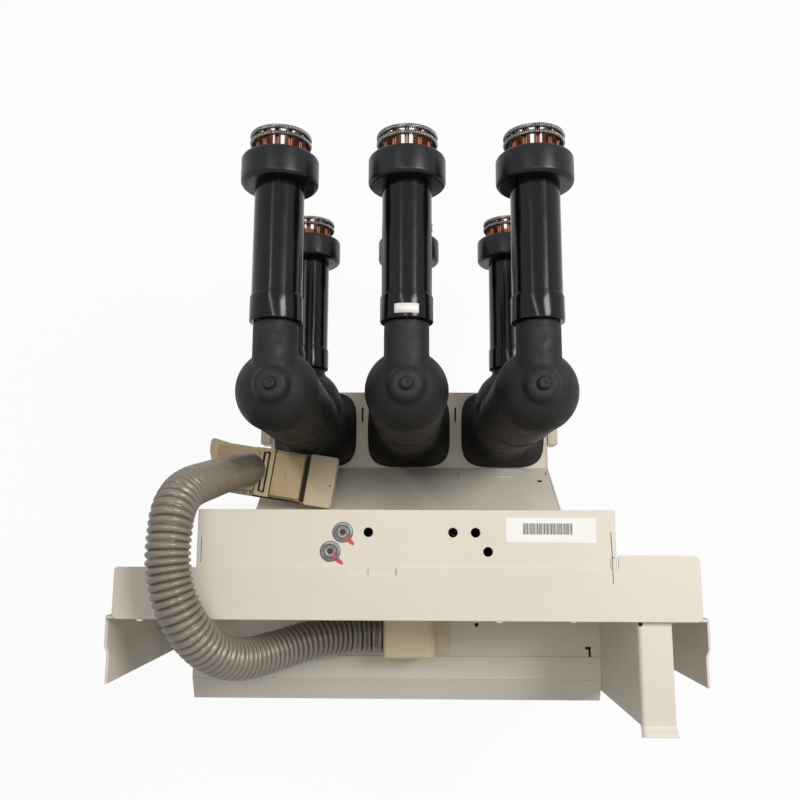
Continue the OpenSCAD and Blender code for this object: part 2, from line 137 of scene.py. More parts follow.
def add_bump(tree, bsdf, height, distance, strength=1.0):
    """Adds a height to what already bumps the surface, in metres."""
    bump = tree.nodes.new("ShaderNodeBump")
    bump.inputs["Distance"].default_value = distance
    bump.inputs["Strength"].default_value = strength
    tree.links.new(height, bump.inputs["Height"])
    if bsdf.inputs["Normal"].is_linked:
        tree.links.new(bsdf.inputs["Normal"].links[0].from_socket, bump.inputs["Normal"])
    tree.links.new(bump.outputs["Normal"], bsdf.inputs["Normal"])


def noise_at(tree, scale, detail=4.0, rough=0.5, stretch=(1, 1, 1)):
    """Noise over Object coordinates, scale waves to the metre, stretched along the axes."""
    place = tree.nodes.new("ShaderNodeTexCoord")
    mapping = tree.nodes.new("ShaderNodeMapping")
    mapping.inputs["Scale"].default_value = stretch
    noise = tree.nodes.new("ShaderNodeTexNoise")
    noise.inputs["Scale"].default_value = scale
    noise.inputs["Detail"].default_value = detail
    noise.inputs["Roughness"].default_value = rough
    tree.links.new(place.outputs["Object"], mapping.inputs["Vector"])
    tree.links.new(mapping.outputs["Vector"], noise.inputs["Vector"])
    return noise.outputs["Fac"]


def ranged(tree, value, low, high, to_low, to_high):
    """Turns a value from low..high into to_low..to_high and stops it there."""
    span = tree.nodes.new("ShaderNodeMapRange")
    for socket, number in zip(("From Min", "From Max", "To Min", "To Max"), (low, high, to_low, to_high)):
        span.inputs[socket].default_value = number
    tree.links.new(value, span.inputs["Value"])
    return span.outputs["Result"]


def tinted(tree, share, colour, under):
    """Lays a colour over what is under it, by a share from 0 to 1. Under is a colour or a socket."""
    mix = tree.nodes.new("ShaderNodeMix")
    mix.data_type = "RGBA"
    if isinstance(under, tuple):
        mix.inputs["A"].default_value = (*under, 1)
    else:
        tree.links.new(under, mix.inputs["A"])
    mix.inputs["B"].default_value = (*colour, 1)
    tree.links.new(share, mix.inputs["Factor"])
    return mix.outputs["Result"]


def srgb(red, green, blue):
    """A colour from 0..255 as the eye sees it, as linear light."""
    part = np.array([red, green, blue]) / 255
    return tuple(float(c) for c in np.where(part > 0.04045, ((part + 0.055) / 1.055) ** 2.4, part / 12.92))


def finish_of(name, colour, cloud, cloud_scale, rough, grain, grain_height,
              metal=0.0, specular=0.5, coat=0.0):
    """A finish whose colour drifts between two tones in soft clouds, with a roughness that follows a
    finer noise from rough[0] to rough[1], over a fine grain of the given scale and height."""
    made = bpy.data.materials.new(name)
    made.use_nodes = True
    tree = made.node_tree
    bsdf = tree.nodes["Principled BSDF"]
    bsdf.inputs["Metallic"].default_value = metal
    bsdf.inputs["Specular IOR Level"].default_value = specular
    bsdf.inputs["Coat Weight"].default_value = coat
    clouds = ranged(tree, noise_at(tree, cloud_scale, 5, 0.6), 0.32, 0.68, 0, 1)
    tree.links.new(tinted(tree, clouds, cloud, colour), bsdf.inputs["Base Color"])
    fine = noise_at(tree, cloud_scale * 6, 3)
    tree.links.new(ranged(tree, fine, 0.3, 0.7, *rough), bsdf.inputs["Roughness"])
    add_bump(tree, bsdf, noise_at(tree, grain, 2), grain_height)
    return made


def overlay(made, share, colour):
    """Lays a further colour over the base colour of a finish."""
    tree = made.node_tree
    base = tree.nodes["Principled BSDF"].inputs["Base Color"]
    under = base.links[0].from_socket
    tree.links.new(tinted(tree, share, colour, under), base)


conduit_line = spline_through(conduit_route, (-1, 0, 0), (0, 0, -1), 0.001)


def ribbed_tube(line):
    """A tube round the line. Its radius falls from the crest to the groove with the sine of the
    distance along it, raised to a power that keeps the crests round and the grooves narrow."""
    run = np.r_[0, np.cumsum(np.linalg.norm(np.diff(line, axis=0), axis=1))]
    way = np.gradient(line, run, axis=0)
    way /= np.linalg.norm(way, axis=1)[:, None]
    across = np.cross(way, (0.8, -0.6, 0))
    across /= np.linalg.norm(across, axis=1)[:, None]
    upright = np.cross(way, across)
    turn = np.linspace(0, 2 * np.pi, 44, endpoint=False)
    wave = np.abs(np.sin(np.pi * run / rib_pitch)) ** 0.85
    radius = (conduit_d / 2 - rib_depth * (1 - wave))[:, None, None]
    points = line[:, None] + radius * (np.cos(turn)[None, :, None] * across[:, None]
                                       + np.sin(turn)[None, :, None] * upright[:, None])
    ends = [np.repeat(line[[i]], len(turn), axis=0) for i in (0, -1)]
    points = np.concatenate([ends[0][None], points, ends[1][None]])
    return points.reshape(-1, 3), grid_faces(len(line) + 2, len(turn))


conduit_finish = finish_of("grey_polyamide", srgb(140, 128, 114), srgb(124, 114, 102), 9,
                           (0.22, 0.36), 900, 0.00006, specular=0.6)
conduit_tree = conduit_finish.node_tree
overlay(conduit_finish, ranged(conduit_tree, noise_at(conduit_tree, 38, 6, 0.7), 0.62, 0.78, 0, 0.30),
        srgb(172, 160, 146))
# Painted shade: the colour turns dark brown deep in the grooves, by the groove depth set on each point below.
groove = conduit_tree.nodes.new("ShaderNodeAttribute")
groove.attribute_name = "groove"
overlay(conduit_finish, ranged(conduit_tree, groove.outputs["Fac"], 0.30, 0.95, 0, 0.85), srgb(52, 46, 42))
conduit = add_piece("conduit_ribbed", [ribbed_tube(conduit_line)], conduit_finish,
                    ["conduit"], crease=80)

# Each point of the tube is told how deep in a groove it lies, from 0 to 1, by its gap to the line. This depth
# darkens the tube's colour in its grooves as painted shade.
skin_points = np.empty(len(conduit.data.vertices) * 3)
conduit.data.vertices.foreach_get("co", skin_points)
near = KDTree(len(conduit_line))
for k, place in enumerate(conduit_line):
    near.insert(place, k)
near.balance()
line_gap = np.array([near.find(p)[2] for p in skin_points.reshape(-1, 3)])
groove_shade_share = np.clip((conduit_d / 2 - line_gap) / rib_depth, 0, 1).astype(np.float32)
conduit.data.attributes.new("groove", "FLOAT", "POINT").data.foreach_set("value", groove_shade_share)

# ---- Floor and light: a plain pale floor under soft lamps ----
# The floor shows as white to the camera and in reflections, and keeps a part of the shadow.
floor_shape = bpy.data.meshes.new("floor")
floor_shape.from_pydata([(-9, -9, -0.0003), (9, -9, -0.0003), (9, 9, -0.0003), (-9, 9, -0.0003)],
                        [], [(0, 1, 2, 3)])
floor = bpy.data.objects.new("floor", floor_shape)
scene.collection.objects.link(floor)


def seen_directly(tree):
    """1 where a ray comes from the camera, a reflection or glass, and 0 for light on the object."""
    path = tree.nodes.new("ShaderNodeLightPath")
    total = path.outputs["Is Camera Ray"]
    for kind in ("Is Glossy Ray", "Is Transmission Ray"):
        either = tree.nodes.new("ShaderNodeMath")
        either.operation = "MAXIMUM"
        tree.links.new(total, either.inputs[0])
        tree.links.new(path.outputs[kind], either.inputs[1])
        total = either.outputs[0]
    return total


floor_finish = bpy.data.materials.new("pale_floor")
floor_finish.use_nodes = True
floor_tree = floor_finish.node_tree
floor_paint = floor_tree.nodes["Principled BSDF"]
floor_paint.inputs["Roughness"].default_value = 0.9
floor_paint.inputs["Specular IOR Level"].default_value = 0.1
floor_tree.links.new(
    tinted(floor_tree, ranged(floor_tree, noise_at(floor_tree, 3), 0.3, 0.7, 0, 1),
           (0.80, 0.80, 0.80), (0.84, 0.84, 0.84)), floor_paint.inputs["Base Color"])
floor_glow = floor_tree.nodes.new("ShaderNodeEmission")
floor_blend = floor_tree.nodes.new("ShaderNodeMixShader")
floor_out = floor_tree.nodes["Material Output"]
floor_share = ranged(floor_tree, seen_directly(floor_tree), 0, 1, 0, 0.94)
floor_tree.links.new(floor_share, floor_blend.inputs["Fac"])
floor_tree.links.new(floor_paint.outputs["BSDF"], floor_blend.inputs[1])
floor_tree.links.new(floor_glow.outputs["Emission"], floor_blend.inputs[2])
floor_tree.links.new(floor_blend.outputs["Shader"], floor_out.inputs["Surface"])
floor_shape.materials.append(floor_finish)

room = bpy.data.worlds.new("room")
room.use_nodes = True
scene.world = room
room_light = room.node_tree.nodes["Background"]
room_light.inputs["Color"].default_value = (1, 1, 1, 1)
room.node_tree.links.new(ranged(room.node_tree, seen_directly(room.node_tree), 0, 1, 0.24, 1),
                         room_light.inputs["Strength"])


def add_lamp(name, place, aim, size, power, tone):
    """A rectangular soft lamp at a place, turned towards another."""
    lamp = bpy.data.lights.new(name, "AREA")
    lamp.shape = "RECTANGLE"
    lamp.size, lamp.size_y = size
    lamp.energy = power
    lamp.color = tone
    holder = bpy.data.objects.new(name, lamp)
    back = (Vector(place) - Vector(aim)).normalized()
    holder.rotation_euler = back.to_track_quat("Z", "Y").to_euler()
    holder.location = place
    scene.collection.objects.link(holder)


add_lamp("lamp_overhead", (-0.36, 0.38, 2.5), (0, 0, 0.4), (0.14, 1.8), 11, (1.0, 0.93, 0.85))
add_lamp("lamp_right", (1.25, 0.55, 2.3), (0, 0, 0.3), (0.8, 0.8), 36, (1.0, 0.98, 0.96))

# ---- Pole mouldings ----
# Each pole holds a vacuum interrupter cast into black epoxy resin. The resin body stands on a
# square foot, closes in a dome, and sends out two round necks for the contact arms. It comes from
# a mould, so all its joins are blended and its skin is matt, with a parting step round the trunk.
pole_names = ("left", "centre", "right")
pole_x = (-0.150, 0.0, 0.150)
pole_y = 0.033
ledge_z = 0.114
trunk_r, dome_r, neck_r = 0.048, 0.049, 0.026
dome_z = 0.481
arm_z = {"upper": 0.506, "lower": 0.231}
neck_end_y = 0.108


def turned(profile, centre, axis="z", sides=72):
    """Turns a profile of (radius, distance) about an axis through the centre: each point goes round a
    circle of its radius. A profile that ends off the axis is joined to its start."""
    profile = np.asarray(profile, float)
    closed = abs(profile[0, 0]) > 1e-9 or abs(profile[-1, 0]) > 1e-9
    turn = np.linspace(0, 2 * np.pi, sides, endpoint=False)
    ring = np.stack([profile[:, :1] * np.cos(turn), profile[:, :1] * np.sin(turn),
                     np.repeat(profile[:, 1:], sides, axis=1)], -1)
    if axis == "y":
        ring = ring[..., [0, 2, 1]]
    points = ring.reshape(-1, 3) + np.asarray(centre)
    return points, grid_faces(len(profile), sides, round_rows=closed)


def arc(centre, radius, start, end, steps):
    """Points on a circle from one angle to another, in degrees."""
    angle = np.radians(np.linspace(start, end, steps))
    return np.stack([centre[0] + radius * np.cos(angle), centre[1] + radius * np.sin(angle)], -1)


def trunk_and_foot(x):
    """A round trunk over a square foot: the radius at a height and an angle runs from a circle to a
    rounded square as the height falls through the flare, and the dome closes it as a quarter arc."""
    flare = np.linspace(0, 1, 14)
    heights = np.r_[ledge_z, ledge_z + 0.009 + 0.045 * (1 - np.cos(flare * np.pi / 2)),
                    np.linspace(0.20, dome_z, 40)]
    square = np.r_[1, 1 - np.sin(flare * np.pi / 2), np.zeros(40)]
    turn = np.linspace(0, 2 * np.pi, 96, endpoint=False)
    foot = (np.abs(np.cos(turn) / 0.066) ** 4 + np.abs(np.sin(turn) / 0.061) ** 4) ** -0.25
    radius = trunk_r + (foot[None] - trunk_r) * square[:, None]
    dome = arc((0, dome_z), dome_r, 0, 90, 20)
    radius = np.vstack([np.zeros((1, 96)), radius, np.repeat(dome[:, :1], 96, axis=1)])
    heights = np.r_[ledge_z, heights, dome[:, 1]]
    points = np.stack([x + radius * np.cos(turn), pole_y + radius * np.sin(turn),
                       np.repeat(heights[:, None], 96, axis=1)], -1)
    return points.reshape(-1, 3), grid_faces(len(heights), 96)


resin = finish_of("black_epoxy_resin", srgb(30, 27, 26), srgb(23, 21, 20), 16,
                  (0.50, 0.68), 1500, 0.00010, specular=0.30)
overlay(resin, ranged(resin.node_tree, noise_at(resin.node_tree, 24, 8, 0.65), 0.60, 0.80, 0, 0.16),
        srgb(74, 64, 57))
add_bump(resin.node_tree, resin.node_tree.nodes["Principled BSDF"],
         noise_at(resin.node_tree, 60, 3), 0.0004, 0.10)

for name, x in zip(pole_names, pole_x):
    ball = arc((0, 0), 0.051, -90, 90, 28)
    crown = np.vstack([(0, dome_z), (0.0205, dome_z), arc((0.0125, 0.5290), 0.008, 0, 90, 8),
                       (0, 0.5370)])
    shells = [trunk_and_foot(x), turned(ball, (x, pole_y + 0.023, arm_z["lower"])),
              turned(crown, (x, pole_y, 0))]
    for z in arm_z.values():
        neck = np.vstack([arc((0, 0), neck_r, -90, 0, 10), (neck_r, 0.075), (0, 0.075)])
        shells.append(turned(neck, (x, pole_y, z), "y"))
    pole = add_piece(f"pole_moulding_{name}", shells, resin, [f"pole_{name}"], 80)
    skin = pole.modifiers.new("cast_in_one", "REMESH")
    skin.mode = "VOXEL"
    skin.voxel_size = 0.0022
    skin.use_smooth_shade = True
    blend = pole.modifiers.new("blended_joins", "SMOOTH")
    blend.factor = 0.5
    blend.iterations = 10
    nub = np.vstack([(0, 0.533), (0.0095, 0.533), (0.0082, 0.5362), (0.0074, 0.5385),
                     arc((0.0042, 0.5398), 0.0030, 10, 80, 8), (0.0030, 0.5426), (0.0017, 0.5421),
                     (0, 0.5419)])
    add_piece(f"pole_nub_{name}", [turned(nub, (x, pole_y, 0), sides=40)], resin)
    bands = [turned([(0.0465, z - 0.0016), (r, z - 0.0011), (r, z + 0.0011), (0.0465, z + 0.0016)],
                    (x, pole_y, 0), sides=96) for z, r in ((0.331, 0.0489), (0.205, 0.0487))]
    add_piece(f"pole_parting_step_{name}", bands, resin)

# ---- Contact arms: sleeves and collars ----
# A shrunk tube of glossy black plastic insulates each copper arm, and a wider cuff covers its
# joint with the resin neck. The thick collar is a moulded ring of satin rubber, pushed on the end.
sleeve_r, cuff_r, bore_r = 0.029, 0.0305, 0.0243
cuff_end_y, collar_start_y, collar_end_y = 0.139, 0.271, 0.307
collar_r = 0.0455


def rounded(points, radii, steps=5):
    """A closed outline with each corner replaced by an arc of its own radius, tangent to both sides."""
    points = np.asarray(points, float)
    radii = np.broadcast_to(radii, len(points))
    outline = []
    for i, (corner, radius) in enumerate(zip(points, radii)):
        a, b = points[i - 1] - corner, points[(i + 1) % len(points)] - corner
        a, b = a / np.linalg.norm(a), b / np.linalg.norm(b)
        half = np.arccos(np.clip(a @ b, -1, 1)) / 2
        if radius <= 0 or half > np.pi / 2 - 1e-3:
            outline.append(corner[None])
            continue
        middle = corner + (a + b) / np.linalg.norm(a + b) * radius / np.sin(half)
        foot = corner + a * radius / np.tan(half)
        other = corner + b * radius / np.tan(half)
        share = np.linspace(0, 1, steps)[:, None]
        sweep = (foot - middle) * (1 - share) + (other - middle) * share
        outline.append(middle + sweep / np.linalg.norm(sweep, axis=1)[:, None] * radius)
    return np.vstack(outline)


gloss = finish_of("glossy_black_sleeve", srgb(15, 13, 12), srgb(11, 10, 10), 12,
                  (0.13, 0.20), 260, 0.00005, specular=0.24)
gloss_tree = gloss.node_tree
add_bump(gloss_tree, gloss_tree.nodes["Principled BSDF"],
         noise_at(gloss_tree, 420, 3, 0.6, (1, 0.05, 1)), 0.00004, 0.6)
# Lighter brownish streaks run along each sleeve: a painted sheen in the tone of the warm highlight.
overlay(gloss, ranged(gloss_tree, noise_at(gloss_tree, 240, 4, 0.6, (1, 0.04, 1)), 0.56, 0.75, 0, 0.5),
        srgb(36, 29, 24))
satin = finish_of("satin_black_rubber", srgb(14, 15, 21), srgb(10, 11, 16), 20,
                  (0.26, 0.36), 1300, 0.00005, specular=0.30)
sleeve_profile = rounded([(bore_r, neck_end_y), (cuff_r, neck_end_y), (cuff_r, cuff_end_y - 0.0022),
                          (cuff_r - 0.0006, cuff_end_y - 0.0018), (cuff_r - 0.0006, cuff_end_y - 0.001),
                          (sleeve_r + 0.0006, cuff_end_y), (sleeve_r, cuff_end_y + 0.0006),
                          (sleeve_r, collar_start_y), (bore_r, collar_start_y)],
                         [0, 0.0011, 0.0001, 0.0001, 0.0001, 0.0003, 0.0003, 0, 0], 4)
collar_profile = rounded([(bore_r, collar_start_y), (0.0405, collar_start_y + 0.0008),
                          (collar_r, collar_start_y), (collar_r, collar_end_y), (0.0305, collar_end_y),
                          (0.0305, 0.2857), (bore_r, 0.2857)],
                         [0.001, 0.004, 0.0055, 0.0045, 0.0015, 0, 0], 8)
for name, x in zip(pole_names, pole_x):
    for level, z in arm_z.items():
        at = (x, 0, z)
        add_piece(f"sleeve_tube_{level}_{name}", [turned(sleeve_profile, at, "y", 96)], gloss,
                  [f"sleeve_{level}_{name}"])
        add_piece(f"collar_ring_{level}_{name}", [turned(collar_profile, at, "y", 96)], satin,
                  [f"collar_{level}_{name}"])

# ---- Tulip contacts ----
# Twelve pairs of drawn copper fingers stand round a turned copper disc and grip the fixed contact.
# Two garter springs of coiled steel wire lie round their tips, and press them inwards.
tip_y, disc_start_y, finger_start_y = 0.337, 0.286, 0.296
finger_in, finger_out = 0.0176, 0.0301
finger_side = rounded([(finger_in, finger_start_y - 0.001), (finger_out, finger_start_y - 0.001),
                       (finger_out, tip_y), (finger_in, tip_y - 0.0015)], [0, 0, 0.0022, 0.0025], 5)
disc_profile = rounded([(0, disc_start_y), (finger_out, disc_start_y), (finger_out, finger_start_y),
                        (0.016, finger_start_y), (0.0145, finger_start_y - 0.003),
                        (0, finger_start_y - 0.003)], [0, 0.0008, 0.0008, 0.0008, 0.0008, 0])


def standing_fin(side, low, high, angle, x, z):
    """A flat fin: a side outline of (radius, Y) given a thickness from low to high across the
    radius, and turned about the arm's axis by the angle."""
    n = len(side)
    across = np.r_[np.full(n, low), np.full(n, high)]
    out, along = np.tile(side[:, 0], 2), np.tile(side[:, 1], 2)
    points = np.stack([x + out * np.cos(angle) - across * np.sin(angle), along,
                       z + out * np.sin(angle) + across * np.cos(angle)], -1)
    quads = [list(q) for q in grid_faces(2, n)]
    return points, quads + [list(range(n - 1, -1, -1)), list(range(n, 2 * n))]


copper = finish_of("drawn_copper", (0.34, 0.155, 0.085), (0.20, 0.085, 0.045), 90,
                   (0.40, 0.58), 700, 0.00005, metal=1.0)
copper_tree = copper.node_tree
add_bump(copper_tree, copper_tree.nodes["Principled BSDF"],
         noise_at(copper_tree, 1500, 2, 0.5, (1, 0.06, 1)), 0.00003, 0.7)
for name, x in zip(pole_names, pole_x):
    for level, z in arm_z.items():
        shells = [turned(disc_profile, (x, 0, z), "y", 72)]
        for k in range(12):
            for low, high in ((-0.0026, -0.0003), (0.0003, 0.0026)):
                shells.append(standing_fin(finger_side, low, high, k * np.pi / 6, x, z))
        tulip = add_piece(f"tulip_fingers_{level}_{name}", shells, copper,
                          [f"tulip_{level}_{name}"])
        edge = tulip.modifiers.new("eased_edges", "BEVEL")
        edge.width, edge.segments = 0.0003, 1
        edge.limit_method, edge.angle_limit = "ANGLE", np.radians(50)

spring_ring_r, spring_coil_r, wire_r = 0.03335, 0.0022, 0.00078
spring_turns, steps_a_turn, wire_sides = 104, 9, 5


def garter_spring(x, y, z):
    """A wire wound round a ring: the wire's centre goes round a small circle spring_turns times while that
    circle goes once round the arm, and a five-sided section follows it."""
    steps = spring_turns * steps_a_turn
    u = np.linspace(0, 2 * np.pi, steps, endpoint=False)
    v = spring_turns * u

    def wound(radius, u, v):
        reach = spring_ring_r + radius * np.cos(v)
        return np.stack([x + reach * np.cos(u), y + radius * np.sin(v), z + reach * np.sin(u)], -1)

    middle = wound(spring_coil_r, u, v)
    way = np.roll(middle, -1, axis=0) - np.roll(middle, 1, axis=0)
    way /= np.linalg.norm(way, axis=1)[:, None]
    outward = wound(spring_coil_r + wire_r, u, v) - middle
    outward -= (outward * way).sum(1)[:, None] * way
    outward /= np.linalg.norm(outward, axis=1)[:, None]
    sideways = np.cross(way, outward)
    turn = np.linspace(0, 2 * np.pi, wire_sides, endpoint=False)
    points = middle[:, None] + wire_r * (np.cos(turn)[None, :, None] * outward[:, None]
                                         + np.sin(turn)[None, :, None] * sideways[:, None])
    return points.reshape(-1, 3), grid_faces(steps, wire_sides, round_rows=True)


spring_steel = finish_of("spring_wire", (0.27, 0.265, 0.26), (0.16, 0.155, 0.15), 60,
                         (0.26, 0.40), 1200, 0.00002, metal=1.0)
for level, z in arm_z.items():
    rings = [garter_spring(x, y, z) for x in pole_x for y in (0.333, 0.325)]
    add_piece(f"garter_springs_{level}", rings, spring_steel, [f"springs_{level}"], 80)

rod_metal = finish_of("silvered_rod", (0.62, 0.60, 0.57), (0.50, 0.48, 0.45), 40,
                      (0.30, 0.42), 900, 0.00003, metal=1.0)


def dress(name, finish, edge, turns=3):
    """Gives a CAD node its finish, and eases its sharp edges by a bevel of the given width."""
    node = nodes[name]
    node.data.materials.clear()
    node.data.materials.append(finish)
    weld = node.modifiers.new("joined_faces", "WELD")
    weld.merge_threshold = 0.00001
    flat = node.modifiers.new("whole_faces", "DECIMATE")
    flat.decimate_type, flat.angle_limit = "DISSOLVE", np.radians(0.5)
    ease = node.modifiers.new("eased_edges", "BEVEL")
    ease.width, ease.segments = edge, turns
    ease.limit_method, ease.angle_limit = "ANGLE", np.radians(30)
    ease.use_clamp_overlap = True
    even = node.modifiers.new("even_shading", "WEIGHTED_NORMAL")
    even.keep_sharp = False
    node.data.shade_smooth()
    return node


for level in arm_z:
    dress(f"rods_{level}", rod_metal, 0.0005)

# ---- Chassis and mechanism housing ----
# Folded 3 mm steel sheet, powder coated a warm light grey with a fine orange-peel skin. The poles
# stand on the ledge, and the sloping sheet closes the gap up to the tall housing of the mechanism.
powder = finish_of("powder_coat", srgb(224, 217, 204), srgb(217, 210, 196), 5,
                   (0.42, 0.56), 620, 0.00009, specular=0.45)
powder_tree = powder.node_tree
add_bump(powder_tree, powder_tree.nodes["Principled BSDF"], noise_at(powder_tree, 1500, 2), 0.00003, 0.6)
overlay(powder, ranged(powder_tree, noise_at(powder_tree, 70, 9, 0.72), 0.66, 0.80, 0, 0.20),
        srgb(176, 168, 152))
overlay(powder, ranged(powder_tree, noise_at(powder_tree, 26, 7, 0.62, (1, 6, 1)), 0.70, 0.82, 0, 0.16),
        srgb(168, 160, 146))
for name in ("pole_ledge", "rear_apron", "housing_sides", "housing_rear", "front_plate"):
    dress(name, powder, 0.0012)


def slab(outline, low, high, along="z"):
    """A flat outline given a thickness from low to high along an axis, closed at both faces. The
    outline is (X, Y) along Z, (X, Z) along Y and (Y, Z) along X."""
    n = len(outline)
    flat = np.vstack([outline, outline])
    depth = np.r_[np.full(n, low), np.full(n, high)]
    order = {"z": (flat[:, 0], flat[:, 1], depth), "y": (flat[:, 0], depth, flat[:, 1]),
             "x": (depth, flat[:, 0], flat[:, 1])}[along]
    quads = [list(q) for q in grid_faces(2, n)]
    return np.stack(order, -1), quads + [list(range(n - 1, -1, -1)), list(range(n, 2 * n))]


def soften(piece, width, turns=3, angle=40):
    """Rounds the sharp edges of a piece and evens the shading of its flat faces."""
    ease = piece.modifiers.new("eased_edges", "BEVEL")
    ease.width, ease.segments = width, turns
    ease.limit_method, ease.angle_limit = "ANGLE", np.radians(angle)
    even = piece.modifiers.new("even_shading", "WEIGHTED_NORMAL")
    even.keep_sharp = False
    return piece


def drill(piece, cutters):
    """Cuts closed shells out of a piece, and keeps the result as its mesh."""
    tool = bpy.data.objects.new("cutter", closed_mesh("cutter", cutters))
    scene.collection.objects.link(tool)
    cut = piece.modifiers.new("cut", "BOOLEAN")
    cut.operation, cut.solver, cut.object = "DIFFERENCE", "EXACT", tool
    graph = bpy.context.evaluated_depsgraph_get()
    piece.data = bpy.data.meshes.new_from_object(piece.evaluated_get(graph), depsgraph=graph)
    piece.modifiers.remove(cut)
    bpy.data.objects.remove(tool)
    return piece


# The slope is cut with small slots for the mechanism's hooks, and with one sighting hole.
slope_way = np.array([-0.076, 0.118]) / np.hypot(0.076, 0.118)
slope_low, slope_high = np.array([-0.028, 0.114]), np.array([-0.104, 0.232])
slope_half = 0.2195
under = np.array([0, -0.0056])
slope_outline = np.array([slope_low, slope_high, slope_high + under, slope_low + under])
slope = add_piece("slope_sheet", [slab(slope_outline, -slope_half, slope_half, "x")], powder,
                  ["slope_panel"])


def slope_cutter(x, along, length, width):
    """A box through the sloping sheet at a distance up it, length across the breaker and width up it."""
    a, b = slope_low + slope_way * along, slope_low + slope_way * (along + width)
    lift = np.array([0.0, 0.01])
    return slab(np.array([a + lift, b + lift, b - lift, a - lift]), x - length / 2, x + length / 2, "x")


drill(slope, [slope_cutter(-0.068, 0.018, 0.0012, 0.009), slope_cutter(0.078, 0.018, 0.0012, 0.009),
              slope_cutter(0.203, 0.040, 0.007, 0.0055), slope_cutter(0.216, 0.012, 0.0016, 0.012)])
louvre = [slab(rounded([slope_low + slope_way * 0.0260 + (0.0000, 0.0008),
                        slope_low + slope_way * 0.0285 + (0.0000, 0.0012),
                        slope_low + slope_way * 0.0290 + (0, -0.0005),
                        slope_low + slope_way * 0.0250 + (0, -0.0005)], 0.0002, 3),
               x - 0.0145, x + 0.0145, "x") for x in (0.0025, 0.1505)]
add_piece("slope_pressed_marks", louvre, powder)
soften(slope, 0.0008, 2)

# The top cover is a flat plate with rounded edges that lies over the housing's walls.
cover_z = 0.534
cover_outline = rounded([(-0.2224, -0.2159), (0.2224, -0.2159), (0.2224, -0.1041), (-0.2224, -0.1041)],
                        [0.002, 0.002, 0.0045, 0.0045], 8)
top_cover = add_piece("housing_cover", [slab(cover_outline, 0.5318, 0.53405)], powder,
                      ["housing_top"])
hole_r = 0.005
hole_at = ((-0.040, -0.128), (0.050, -0.128), (0.074, -0.128), (0.087, -0.148))
drill(top_cover, [turned([(0, 0.52), (hole_r, 0.52), (hole_r, 0.54), (0, 0.54)], (x, y, 0), sides=40)
                  for x, y in hole_at])
soften(top_cover, 0.0009, 4)

guide_plastic = finish_of("guide_plastic", srgb(214, 205, 182), srgb(204, 194, 168), 30,
                          (0.40, 0.52), 1100, 0.00004)
dress("guide_blocks", guide_plastic, 0.0012)

zinc = finish_of("zinc_plated_steel", (0.56, 0.56, 0.55), (0.42, 0.42, 0.42), 26,
                 (0.32, 0.50), 900, 0.00004, metal=1.0)
overlay(zinc, ranged(zinc.node_tree, noise_at(zinc.node_tree, 90, 6, 0.7), 0.55, 0.75, 0, 0.5),
        (0.36, 0.36, 0.35))
for name in ("base_rails", "base_cross_members", "floor_pans"):
    dress(name, zinc, 0.0010)

# ---- Top bushings, paint marks and rating label ----
# Two plated steel bushings give access to the springs' release screws. A stroke of red lacquer
# across each one shows that it was set. The rating label is a bare white film with plain bars.
steel = finish_of("bushing_steel", (0.20, 0.20, 0.195), (0.12, 0.12, 0.12), 120,
                  (0.30, 0.48), 1400, 0.00003, metal=1.0)
bushing_profile = rounded([(0, 0.5343), (0.0030, 0.5343), (0.0030, 0.5366), (0.0058, 0.5369),
                           (0.0062, 0.5350), (0.0070, 0.5350), (0.0078, 0.5362), (0.0104, 0.5357),
                           (0.0110, cover_z), (0, cover_z)],
                          [0, 0.0001, 0.0004, 0.0006, 0.0001, 0.0001, 0.0005, 0.0006, 0, 0], 5)
bushing_at = ((-0.067, -0.128), (-0.080, -0.148))
add_piece("release_bushings", [turned(bushing_profile, (x, y, 0), sides=48) for x, y in bushing_at],
          steel, ["top_bushings"])
# A thin disc of dark reddish brown lies at the bottom of each bushing's bore.
bore_dark = finish_of("dark_bore_disc", srgb(58, 30, 27), srgb(34, 22, 20), 200, (0.35, 0.5), 900, 0.00003)
add_piece("bushing_bores", [turned([(0, 0.53435), (0.0029, 0.53435), (0.0029, 0.53455), (0, 0.53455)],
                                   (x, y, 0), sides=32) for x, y in bushing_at],
          bore_dark)


def stroke(start, end, width, low, high):
    """A brush stroke seen from above: a bar with round ends whose width swells in its middle."""
    start, end = np.array(start), np.array(end)
    way = (end - start) / np.linalg.norm(end - start)
    side = np.array([-way[1], way[0]])
    share = np.linspace(0, 1, 14)[:, None]
    half = width / 2 * (0.45 + 0.55 * np.sin(np.pi * share ** 0.8)) * (1 + 0.10 * np.sin(19 * share))
    line = start + (end - start) * share
    return slab(np.vstack([line + side * half, (line - side * half)[::-1]]), low, high)


lacquer = finish_of("red_lacquer", srgb(212, 62, 58), srgb(190, 40, 40), 160,
                    (0.25, 0.38), 900, 0.00008, coat=0.2)
marks = [stroke((-0.0640, -0.1330), (-0.0550, -0.1410), 0.0048, 0.5339, 0.5345),
         stroke((-0.0770, -0.1530), (-0.0665, -0.1612), 0.0048, 0.5339, 0.5345),
         stroke((-0.0655, -0.1302), (-0.0612, -0.1350), 0.0036, 0.5352, 0.5366),
         stroke((-0.0785, -0.1502), (-0.0738, -0.1553), 0.0036, 0.5352, 0.5366)]
add_piece("setting_marks", marks, lacquer)

